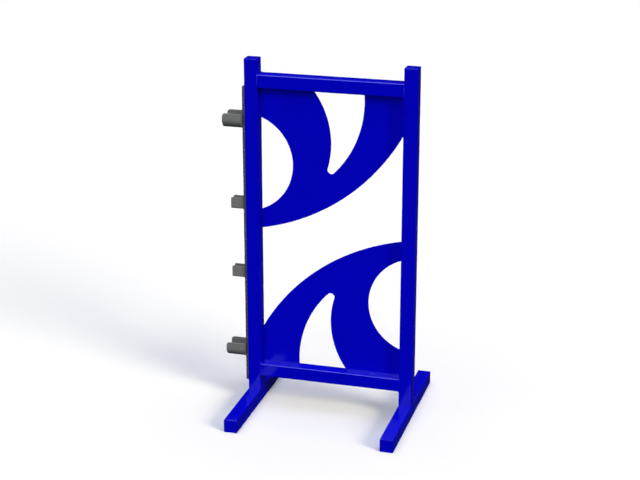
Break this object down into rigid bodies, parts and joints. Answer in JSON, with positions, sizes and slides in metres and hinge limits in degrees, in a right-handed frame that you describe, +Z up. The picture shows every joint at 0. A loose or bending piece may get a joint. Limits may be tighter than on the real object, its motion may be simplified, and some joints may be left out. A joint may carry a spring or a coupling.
{
  "type": "show jump wing",
  "caption": "Free-standing jump wing: a square tube frame on two feet with curved cut-out panels and a slotted track of pinned sliding cups.",
  "frame": {"origin": "on the ground, in the middle of the whole outline seen from above", "axes": "+X across the wing, away from the poles; +Y to the back; +Z up"},
  "size_m": [1.007, 0.885, 1.86],
  "materials": {
    "blue_powder_coat": "glossy blue powder coat on steel",
    "blue_cap_plastic": "moulded, glossy blue",
    "anodised_track": "dark grey anodised",
    "bright_rivet": "bright",
    "grey_cup_paint": "satin grey powder coat on steel",
    "dark_plastic": "moulded, matt",
    "zinc_plated_steel": "zinc plated"
  },
  "bodies": {
    "wing": {"inner_post": "blue_powder_coat", "outer_post": "blue_powder_coat", "top_rail": "blue_powder_coat", "bottom_rail": "blue_powder_coat", "upper_panel": "blue_powder_coat", "lower_panel": "blue_powder_coat", "inner_foot": "blue_powder_coat", "outer_foot": "blue_powder_coat", "inner_post_cap": "blue_cap_plastic", "outer_post_cap": "blue_cap_plastic", "inner_foot_front_cap": "blue_cap_plastic", "inner_foot_rear_cap": "blue_cap_plastic", "outer_foot_front_cap": "blue_cap_plastic", "outer_foot_rear_cap": "blue_cap_plastic", "inner_post_foot_plate": "blue_powder_coat", "outer_post_foot_plate": "blue_powder_coat", "foot_bolts": "zinc_plated_steel", "foot_bolt_washers": "zinc_plated_steel", "cup_track": "anodised_track", "track_rivets": "bright_rivet", "track_plugs": "dark_plastic"},
    "bottom_cup": {"bottom_cup_shell": "grey_cup_paint", "bottom_cup_back_plate": "grey_cup_paint", "bottom_cup_slider": "dark_plastic", "bottom_cup_screws": "zinc_plated_steel"},
    "bottom_cup_pin": {"bottom_cup_pin": "zinc_plated_steel", "bottom_cup_pin_knob": "dark_plastic"},
    "lower_flat_cup": {"lower_flat_cup_shell": "grey_cup_paint", "lower_flat_cup_back_plate": "grey_cup_paint", "lower_flat_cup_slider": "dark_plastic", "lower_flat_cup_screws": "zinc_plated_steel"},
    "lower_flat_cup_pin": {"lower_flat_cup_pin": "zinc_plated_steel", "lower_flat_cup_pin_knob": "dark_plastic"},
    "upper_flat_cup": {"upper_flat_cup_shell": "grey_cup_paint", "upper_flat_cup_back_plate": "grey_cup_paint", "upper_flat_cup_slider": "dark_plastic", "upper_flat_cup_screws": "zinc_plated_steel"},
    "upper_flat_cup_pin": {"upper_flat_cup_pin": "zinc_plated_steel", "upper_flat_cup_pin_knob": "dark_plastic"},
    "top_cup": {"top_cup_shell": "grey_cup_paint", "top_cup_back_plate": "grey_cup_paint", "top_cup_slider": "dark_plastic", "top_cup_screws": "zinc_plated_steel"},
    "top_cup_pin": {"top_cup_pin": "zinc_plated_steel", "top_cup_pin_knob": "dark_plastic"}
  },
  "joints": [
    {"name": "bottom_cup_slide", "type": "slide", "parent": "wing", "child": "bottom_cup", "axis": [0, 0, 1], "range_m": [0, 0.35]},
    {"name": "lower_flat_cup_slide", "type": "slide", "parent": "wing", "child": "lower_flat_cup", "axis": [0, 0, 1], "range_m": [0, 0.3]},
    {"name": "upper_flat_cup_slide", "type": "slide", "parent": "wing", "child": "upper_flat_cup", "axis": [0, 0, 1], "range_m": [0, 0.35]},
    {"name": "top_cup_slide", "type": "slide", "parent": "wing", "child": "top_cup", "axis": [0, 0, 1], "range_m": [0, 0.125]},
    {"name": "bottom_cup_pin_pull", "type": "slide", "parent": "wing", "child": "bottom_cup_pin", "axis": [0, 1, 0], "range_m": [0, 0.065]},
    {"name": "lower_flat_cup_pin_pull", "type": "slide", "parent": "wing", "child": "lower_flat_cup_pin", "axis": [0, 1, 0], "range_m": [0, 0.065]},
    {"name": "upper_flat_cup_pin_pull", "type": "slide", "parent": "wing", "child": "upper_flat_cup_pin", "axis": [0, 1, 0], "range_m": [0, 0.065]},
    {"name": "top_cup_pin_pull", "type": "slide", "parent": "wing", "child": "top_cup_pin", "axis": [0, 1, 0], "range_m": [0, 0.065]}
  ]
}
